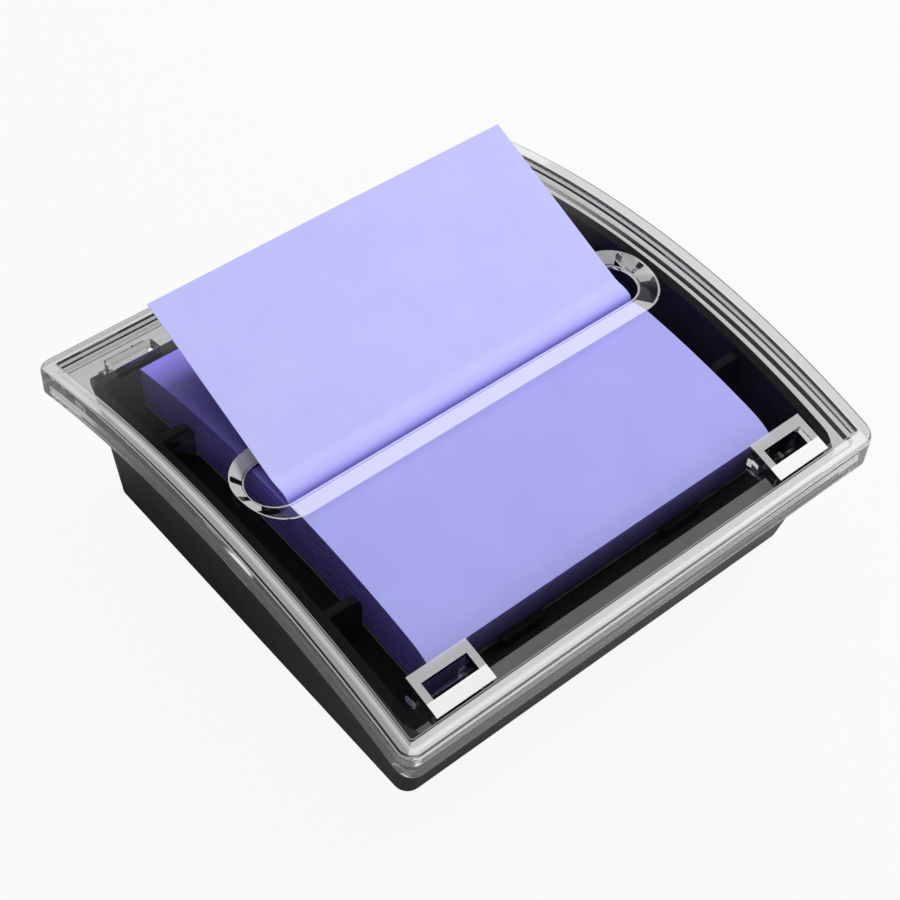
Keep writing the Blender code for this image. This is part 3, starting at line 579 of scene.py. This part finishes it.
def back_clip(item, x):
    """An arm behind a rear window with an open hook round the hinge pin."""
    xs = (x - HOOK_HALF, x + HOOK_HALF)
    start = math.radians(-90) + HOOK_MOUTH / 2
    end = math.radians(270) - HOOK_MOUTH / 2
    profile = []
    for radius, a, b in ((HOOK_OUTER, start, end), (HOOK_INNER, end, start)):
        for i in range(HOOK_STEPS + 1):
            angle = a + (b - a) * i / HOOK_STEPS
            profile += on_arc(HINGE.y, HINGE.z, angle, radius)
    hook = loft("hook", [[(end_x, y, z) for y, z in profile] for end_x in xs])
    panel = underside(BACK_WINDOW) + PANEL_THICKNESS / 2
    arm = box(xs, (BACK_WINDOW, BACK_WINDOW + ARM), (HINGE.z + ARM_RISE, panel))
    combine(hook, arm, "UNION")
    combine(item, hook, "UNION")
    window = box(
        (x - WINDOW_HALF, x + WINDOW_HALF),
        (BACK_WINDOW - BACK_WINDOW_LENGTH, BACK_WINDOW),
        (underside(BACK_WINDOW) - SPARE, CROWN + PANEL_THICKNESS),
    )
    combine(item, window, "DIFFERENCE")


def exact_normals(item):
    """Arched faces get the arch's own normal; others are smoothed across small angles only."""
    mesh = item.data
    mesh.shade_smooth()
    bm = bmesh.new()
    bm.from_mesh(mesh)
    normals = []
    for face in bm.faces:
        side = face.normal.dot(arch_normal(face.calc_center_median().y))
        for loop in face.loops:
            if abs(side) > ARCH_LIMIT:
                normal = arch_normal(loop.vert.co.y) * math.copysign(1, side)
            else:
                normal = Vector()
                for other in loop.vert.link_loops:
                    if other.face.normal.dot(face.normal) > SMOOTH_LIMIT:
                        normal += other.face.normal * other.calc_angle()
                normal.normalize()
            normals.append(normal)
    bm.free()
    mesh.normals_split_custom_set(normals)


# Painted highlights round a slot's end: bands of finish, each up to an angle in degrees from the x
# axis
RING_HIGHLIGHTS = (
    (-80, SATIN),
    (-34, CLEAR),
    (-8, SATIN),
    (4, CLEAR),
    (28, FROSTED),
    (38, CLEAR),
    (180, SATIN),
)
SLOT_REACH = SLOT_END_X + SLOT_END_RADIUS + LIP_WIDTH


def slope_finish_and_highlights(x, y, share):
    """Finish on the slot's slope at a share of its height.

    A frosted band at its lower edge is a painted highlight. The lip is satin, and the ends have
    bands of haze by angle, which are painted highlights.
    """
    # The frosted band at the slope's lower edge: a painted highlight
    if share < SLOPE_LINES[0]:
        return FROSTED
    if share < SLOPE_LINES[1]:
        return CLEAR
    if x < SLOT_END_X or share > SLOPE_LINES[2]:
        return SATIN
    # Bands of haze round the ends by angle: painted highlights
    angle = math.degrees(math.atan2(y - SLOT_FRONT - SLOT_END_RADIUS, x - SLOT_END_X))
    return next(finish for limit, finish in RING_HIGHLIGHTS if angle < limit)


def rim_finish(face, height, tilt):
    """Finish on the rim: hazy on top and a little outside. The top is hazier and whiter at the front
    and right, which is painted light.
    """
    x, y = face.center.x, face.center.y
    if tilt > ARCH_LIMIT and height > PANEL_THICKNESS + GRAZE:
        # The front and right of the rim's top get the extra haze: painted light.
        lit_side = max(x - HALF_WIDTH, -y - HALF_DEPTH)
        far_side = max(-x - HALF_WIDTH, y - HALF_DEPTH)
        return RIM_PAINTED_LIGHT if lit_side > far_side else RIM_TOP
    outward = face.normal.x * x + face.normal.y * y > 0
    return RIM_SIDE if outward and abs(tilt) < WALL_TILT else CLEAR


def face_finish(face):
    """Finish of a face: slot, front windows and rim have their own, and the rest is clear."""
    x, y = abs(face.center.x), face.center.y
    height = face.center.z - underside(y)
    tilt = face.normal.dot(arch_normal(y))
    near_slot = x < SLOT_REACH and SLOT_FRONT - LIP_WIDTH < y < SLOT_FRONT + 2 * SHOULDER_RADIUS
    on_slope = SLOT_LAND < height < PANEL_THICKNESS - GRAZE and SLOPE_TILT < tilt < ARCH_LIMIT
    if near_slot and on_slope:
        return slope_finish_and_highlights(x, y, (height - SLOT_LAND) / SLOPE_HEIGHT)
    near_clip = abs(x - CLIP_X) < CLIP_HALF + GRAZE and FRONT_WINDOW - BAR_DEPTH < y < CLIP_BACK
    if near_clip and height > PANEL_THICKNESS + FRAME_HEIGHT / 2:
        return MILKY if y < FRONT_WINDOW else FROSTED
    if x > HALF_WIDTH - RIM_WIDTH + GRAZE or abs(y) > HALF_DEPTH - RIM_WIDTH + GRAZE:
        return rim_finish(face, height, tilt)
    return CLEAR


def finish_faces(item):
    for material in FINISHES:
        item.data.materials.append(material)
    for face in item.data.polygons:
        face.material_index = FINISHES.index(face_finish(face))


cover = cover_blank()
bend(cover)
for side in (-1, 1):
    front_clip(cover, side * CLIP_X)
    back_clip(cover, side * CLIP_X)
exact_normals(cover)
finish_faces(cover)
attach(cover, "cover")
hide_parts("clear_cover")

# The tray and what is fixed to it, each with the width of its softened edges
TRAY_SOFT, PLATE_SOFT, CARD_SOFT = 0.00025, 0.00015, 0.00008
BAR_SOFT, FOOT_SOFT, SCREW_SOFT = 0.00030, 0.00020, 0.00010
TRAY_SOFT_ANGLE = 25
# Where the painted sheen lies on the top of the tray's front edge
LEDGE_BACK, LEDGE_DEPTH, LEDGE_TILT = -0.0437, 0.0016, 0.85
FLANGE, FLANGE_HEIGHT, FLANGE_START, FLANGE_BLEND = 0.0009, 0.0080, -0.0450, 0.0010
RECESS_DEPTH, RECESS_HALF, RECESS_REACH = 0.0007, 0.00032, 0.0011


def push_front_edge(item):
    """Bring the tray's front edge forward along the arch, less and less below its top."""
    for vertex in item.data.vertices:
        point = vertex.co
        if point.y < FLANGE_START:
            rise = min(1.0, max(0.0, 1 - (underside(point.y) - point.z) / FLANGE_HEIGHT))
            past = min(1.0, (FLANGE_START - point.y) / FLANGE_BLEND)
            moved = point.y - FLANGE * rise * past
            point.z += drop(point.y) - drop(moved)
            point.y = moved


def paint_ledge_sheen(item):
    """Give the top of the tray's front edge a lighter grey: painted sheen."""
    item.data.materials.append(LEDGE_SHEEN)
    for face in item.data.polygons:
        y = face.center.y
        on_front = y < LEDGE_BACK and underside(y) - face.center.z < LEDGE_DEPTH
        if on_front and face.normal.z > LEDGE_TILT:
            face.material_index = 1


def driven_screw(source, name):
    """A screw with a cross recess in its head, which faces down."""
    made = softened_copy(source, name, "base", ZINC, SCREW_SOFT)
    low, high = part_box(source.name)
    x, y = (low.x + high.x) / 2, (low.y + high.y) / 2
    depth = (low.z - SPARE, low.z + RECESS_DEPTH)
    for half_x, half_y in ((RECESS_REACH, RECESS_HALF), (RECESS_HALF, RECESS_REACH)):
        cutter = box((x - half_x, x + half_x), (y - half_y, y + half_y), depth)
        combine(made, cutter, "DIFFERENCE")


tray = softened_copy(
    NODES["base_tray"], "tray", "base", BLACK, TRAY_SOFT, TRAY_SOFT_ANGLE
)
push_front_edge(tray)
paint_ledge_sheen(tray)
softened_copy(NODES["bottom_plate"], "plate", "base", PLATE, PLATE_SOFT)
softened_copy(NODES["backing_card"], "card", "base", CARD, CARD_SOFT)
for name in ("ballast_front", "ballast_rear"):
    softened_copy(NODES[name], name + "_bar", "base", STEEL, BAR_SOFT)
for place in ("front_left", "front_right", "rear_left", "rear_right"):
    foot = NODES["foot_" + place]
    softened_copy(foot, "rubber_" + place, "base", RUBBER, FOOT_SOFT)
    driven_screw(NODES["screw_" + place], "driven_" + place)


# Paper: a sheet's thickness, the loose sheets' spacing and the curl of their front edges
SHEET, LOOSE_PITCH, PANEL_GAP = 0.00015, 0.0004, 0.0004
CURL, CURL_SPAN = 0.0005, 0.0032
# How far the loose sheets and the pad's top reach past the pad's foot at the front
OVERHANG, OVERHANG_SPAN = 0.0008, 0.0040
PAD_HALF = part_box("note_pad")[1].x
PAD_FRONT, PAD_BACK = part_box("note_pad")[0].y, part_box("note_pad")[1].y
SHEET_FRONT = PAD_FRONT - OVERHANG
COLUMNS, ROWS = 24, 40
SHEET_SHARP_ANGLE, PAD_SHARP_ANGLE = 40, 30
# The standing note: its crease, its lean, and the curved foot that comes up behind the lip
LEAN = math.radians(22.4)
STANDING_LENGTH, LIFT, BOW = 0.0406, 0.0050, 0.00016
CREASE = Vector((0, SLOT_FRONT + 0.0004, CROWN + 0.0002))
ALONG = Vector((0, math.cos(LEAN), math.sin(LEAN)))
RISE = Vector((0, SLOT_FRONT + 0.0003, CROWN - 0.0004))
RISE_HANDLE, SETTLE_HANDLE, FOOT_STEPS = Vector((0, 0.0001, 0.0026)), 0.0018, 24


def outline(rows):
    """The vertices round the border of a grid."""
    right = [row[-1] for row in rows[1:]]
    left = [row[0] for row in rows[-2:0:-1]]
    return rows[0] + right + rows[-1][-2::-1] + left


def paper_sheet(name, path, material, bow=0.0):
    """A thin sheet along a path of (y, z) points, whose side edges bow away towards its end."""
    bm = bmesh.new()
    top, bottom = [], []
    last = len(path) - 1
    for i, point in enumerate(path):
        before, after = path[max(i - 1, 0)], path[min(i + 1, last)]
        along = Vector((0, after[0] - before[0], after[1] - before[1])).normalized()
        normal = Vector((1, 0, 0)).cross(along)
        spots = []
        for j in range(COLUMNS + 1):
            across = 2 * j / COLUMNS - 1
            sag = bow * (1 - math.cos(math.pi * across)) * (i / last) ** 2
            spots.append(Vector((PAD_HALF * across, *point)) - normal * sag)
        top.append([bm.verts.new(spot) for spot in spots])
        bottom.append([bm.verts.new(spot - normal * SHEET) for spot in spots])
    for rows, flip in ((top, False), (bottom, True)):
        for low, high in zip(rows, rows[1:]):
            for j in range(COLUMNS):
                corners = (low[j], low[j + 1], high[j + 1], high[j])
                bm.faces.new(tuple(reversed(corners)) if flip else corners)
    rim, under = outline(top), outline(bottom)
    for i in range(len(rim)):
        j = (i + 1) % len(rim)
        bm.faces.new((rim[j], rim[i], under[i], under[j]))
    made = to_object(name, bm)
    shade(made, SHEET_SHARP_ANGLE)
    dress(made, material)
    return made


def bezier(a, b, c, d, count):
    """Points (y, z) along a curve between two ends with a handle each."""
    points = []
    for i in range(count + 1):
        t = i / count
        point = a * (1 - t) ** 3 + b * 3 * t * (1 - t) ** 2
        point += c * 3 * t * t * (1 - t) + d * t**3
        points.append((point.y, point.z))
    return points


def loose_path(end, place):
    """Top of a sheet under the cover, from its front edge to an end; place 0 is the uppermost."""
    path = []
    for i in range(ROWS + 1):
        y = SHEET_FRONT + (end - SHEET_FRONT) * i / ROWS
        past = max(0.0, PAD_FRONT + CURL_SPAN - y) / CURL_SPAN
        path.append((y, underside(y) - PANEL_GAP - place * LOOSE_PITCH - CURL * past * past))
    return path


# The note that stands in the slot: it comes up close behind the lip, then lies back
settled = CREASE + ALONG * LIFT
path = bezier(RISE, RISE + RISE_HANDLE, settled - ALONG * SETTLE_HANDLE, settled, FOOT_STEPS)
for i in range(1, ROWS + 1):
    point = settled + ALONG * (STANDING_LENGTH - LIFT) * i / ROWS
    path.append((point.y, point.z))
standing = paper_sheet("standing_note_sheet", path, NOTE, BOW)
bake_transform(standing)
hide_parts("top_note_upper_half")

front = paper_sheet("front_note_sheet", loose_path(SLOT_FRONT, 0), FRONT_NOTE_PAINTED_LIGHT)
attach(front, "cover")
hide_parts("top_note_lower_half")

for place, name in enumerate(("next_note", "third_note"), start=1):
    sheet = paper_sheet(name + "_sheet", loose_path(PAD_BACK, place), LOWER_NOTE_PAINTED_SHADE)
    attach(sheet, "base")
    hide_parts(name)


# The pad
PAD_LAYERS, LAYER_STEP, PAD_SEED, STATION_DIGITS = 45, 0.00012, 11, 5
# Faces turned further to the front than this get the pad's painted light and shade
PAD_FRONT_TILT = -0.7


def pad_spans():
    """Lowest and highest point of the CAD pad at each of its stations along y."""
    spans = {}
    for vertex in NODES["note_pad"].data.vertices:
        y, z = round(vertex.co.y, STATION_DIGITS), vertex.co.z
        low, high = spans.get(y, (z, z))
        spans[y] = (min(low, z), max(high, z))
    return dict(sorted(spans.items()))


def pad_rings(spans):
    """Two rings for each layer, which is drawn in a little at each side by a draw of its own."""
    dice = random.Random(PAD_SEED)
    rings = []
    for layer in range(PAD_LAYERS):
        from_left, from_right, from_front, from_back = (
            dice.uniform(0.0, LAYER_STEP) for _ in range(4)
        )
        for level in (layer / PAD_LAYERS, (layer + 1) / PAD_LAYERS):
            ring = []
            for y, (low, high) in spans.items():
                share = (y - PAD_FRONT) / (PAD_BACK - PAD_FRONT)
                near_front = max(0.0, 1 - (y - PAD_FRONT) / OVERHANG_SPAN)
                drawn_in = from_front * (1 - share) - from_back * share
                shifted = y + drawn_in - OVERHANG * level * near_front
                ring.append((shifted, low + (high - low) * level))
            left_side = [(from_left - PAD_HALF, y, z) for y, z in ring]
            right_side = [(PAD_HALF - from_right, y, z) for y, z in reversed(ring)]
            rings.append(left_side + right_side)
    return rings


def layered_pad():
    """The pad with its cut edges stepped by up to a tenth of a millimetre between layers."""
    spans = pad_spans()
    bm = bmesh.new()
    rows = [[bm.verts.new(point) for point in ring] for ring in pad_rings(spans)]
    for lower, upper in zip(rows, rows[1:]):
        for i in range(len(lower)):
            j = (i + 1) % len(lower)
            bm.faces.new((lower[i], lower[j], upper[j], upper[i]))
    for row in (rows[0], rows[-1]):
        for i in range(len(spans) - 1):
            bm.faces.new((row[i], row[i + 1], row[-2 - i], row[-1 - i]))
    made = to_object("layered_pad", bm)
    shade(made, PAD_SHARP_ANGLE)
    dress(made, PAD_PAINTED_SHADE)
    # The pad's front faces: lighter than the pad at the top and near black at the bottom, painted
    # light and painted shade.
    front_shade_paper = paper(
        "pad_front_painted_light_and_shade",
        (0.50, 0.46, 0.97),
        (0.56, 0.52, 0.98),
        edge_lines=True,
        shade_heights=next(iter(spans.values())),
        shade_colour=(0.03, 0.025, 0.08),
    )
    made.data.materials.append(front_shade_paper)
    for face in made.data.polygons:
        if face.normal.y < PAD_FRONT_TILT:
            face.material_index = 1
    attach(made, "base")
    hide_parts("note_pad")


layered_pad()


# Floor and sky, with their brightness for each kind of ray that the helpers tell apart
FLOOR_SIZE, FLOOR_DROP, FLOOR_GREY, FLOOR_ROUGHNESS = 6.0, 0.00005, 0.42, 0.9
FLOOR_GLOW, THROUGH_GLOW, GLOSS_GLOW = 0.92, 0.10, 0.55
GLOW_START, GLOW_END = -0.05, 0.12
SKY_LOW, SKY_TOP = 0.0, 0.48
GLOSS_LOW, GLOSS_HIGH, GLOSS_DARK, GLOSS_FAR, GLOSS_TURN = 0.35, 0.62, 0.02, 0.35, 0.6


def no_bounce(tree, depth):
    """1 for rays without a bounce of one kind."""
    return compute(tree, "LESS_THAN", node(tree, "LightPath").outputs[depth], 0.5)


def unscattered(tree):
    """1 for rays that no matt surface has scattered on their way from the camera."""
    return no_bounce(tree, "Diffuse Depth")


def straight(tree):
    """1 for camera rays, also after clear plastic that they passed without a reflection."""
    return compute(tree, "MULTIPLY", no_bounce(tree, "Glossy Depth"), unscattered(tree))


def sideways(tree, split):
    """How far a split vector points to the front right."""
    return compute(tree, "SUBTRACT", split.outputs["X"], split.outputs["Y"])


# The floor is white where it is seen and dim where it is seen through the plastic. In reflections it
# glows at the front right, a painted pool of light, and to all other rays it is a matt grey.
half = FLOOR_SIZE / 2
floor_corners = [(-half, -half, 0), (half, -half, 0), (half, half, 0), (-half, half, 0)]
floor_mesh = bpy.data.meshes.new("floor")
floor_mesh.from_pydata(floor_corners, [], [(0, 1, 2, 3)])
floor = link("floor", floor_mesh)
floor.location.z = -FLOOR_DROP
floor_material, tree, shader = new_material("floor_paper")
shader.inputs["Base Color"].default_value = (FLOOR_GREY, FLOOR_GREY, FLOOR_GREY, 1)
shader.inputs["Roughness"].default_value = FLOOR_ROUGHNESS
shader.inputs["Specular IOR Level"].default_value = 0.0
white = node(tree, "Emission", {"Color": (1, 1, 1, 1), "Strength": 1.0})
spot = node(tree, "SeparateXYZ", {0: node(tree, "TexCoord").outputs["Object"]})
# A painted pool of light at the front right, seen only in reflections
bright = spread(tree, sideways(tree, spot), 0.0, GLOSS_GLOW, GLOW_START, GLOW_END)
mirrored = compute(tree, "MULTIPLY", unscattered(tree), bright)
through = choose(tree, straight(tree), mirrored, THROUGH_GLOW)
seen = node(tree, "LightPath").outputs["Is Camera Ray"]
glow = choose(tree, seen, through, FLOOR_GLOW)
lit = node(tree, "MixShader", {0: glow, 1: shader.outputs[0], 2: white.outputs[0]})
tree.links.new(lit.outputs[0], tree.nodes["Material Output"].inputs["Surface"])
dress(floor, floor_material)

# The sky is white where it is seen. In reflections it is white near the horizon, most at the
# front right, and dark overhead. For matt surfaces it gets brighter with height.
world = bpy.data.worlds.new("studio")
bpy.context.scene.world = world
world.use_nodes = True
world.cycles.sampling_method = "NONE"
tree = world.node_tree
direction = node(tree, "SeparateXYZ", {0: node(tree, "TexCoord").outputs["Generated"]})
height = direction.outputs["Z"]
low_sky = spread(tree, height, 1.0, GLOSS_DARK, GLOSS_LOW, GLOSS_HIGH)
turned = spread(tree, sideways(tree, direction), GLOSS_FAR, 1.0, -GLOSS_TURN, GLOSS_TURN)
gloss = compute(tree, "MULTIPLY", low_sky, turned)
matt = choose(tree, height, SKY_LOW, SKY_TOP)
indirect = choose(tree, unscattered(tree), matt, gloss)
background = tree.nodes["Background"]
background.inputs["Color"].default_value = (1, 1, 1, 1)
tree.links.new(choose(tree, straight(tree), indirect, 1.0), background.inputs["Strength"])


# Lamps, which light matt surfaces only
LAMP_AIM = Vector((0, 0, 0.02))
LAMPS = (
    ("key", Vector((0.64, 0.02, 0.76)), 0.3, 8.9),
    ("top", Vector((-0.05, 0.12, 0.95)), 0.4, 1.9),
)
for name, place, size, power in LAMPS:
    lamp = bpy.data.lights.new(name, "AREA")
    lamp.shape = "RECTANGLE"
    lamp.size, lamp.size_y = size, size
    lamp.energy = power
    made = link(name, lamp)
    made.location = place
    made.rotation_euler = (place - LAMP_AIM).to_track_quat("Z", "Y").to_euler()
    made.visible_transmission = False
    made.visible_glossy = False

# The camera, as fitted to the photograph
AZIMUTH, ELEVATION, ROLL = (math.radians(angle) for angle in (-43.32, 49.07, 4.09))
DISTANCE, TARGET = 0.3249, Vector((0.00003, 0.00046, 0.0158))
SENSOR_WIDTH, FOCAL_LENGTH, CLIP_START = 36, 73.36, 0.01
back = Vector(
    (
        math.sin(AZIMUTH) * math.cos(ELEVATION),
        -math.cos(AZIMUTH) * math.cos(ELEVATION),
        math.sin(ELEVATION),
    )
)
level_right = Vector((0, 0, 1)).cross(back).normalized()
level_up = back.cross(level_right)
right = level_right * math.cos(ROLL) + level_up * math.sin(ROLL)
up = level_up * math.cos(ROLL) - level_right * math.sin(ROLL)
camera_data = bpy.data.cameras.new("camera")
camera_data.sensor_width = SENSOR_WIDTH
camera_data.lens = FOCAL_LENGTH
camera_data.clip_start = CLIP_START
camera = link("camera", camera_data)
turn = Matrix((right, up, back)).transposed().to_4x4()
camera.matrix_world = Matrix.Translation(TARGET + back * DISTANCE) @ turn
bpy.context.scene.camera = camera

bpy.context.scene.view_settings.view_transform = "Standard"
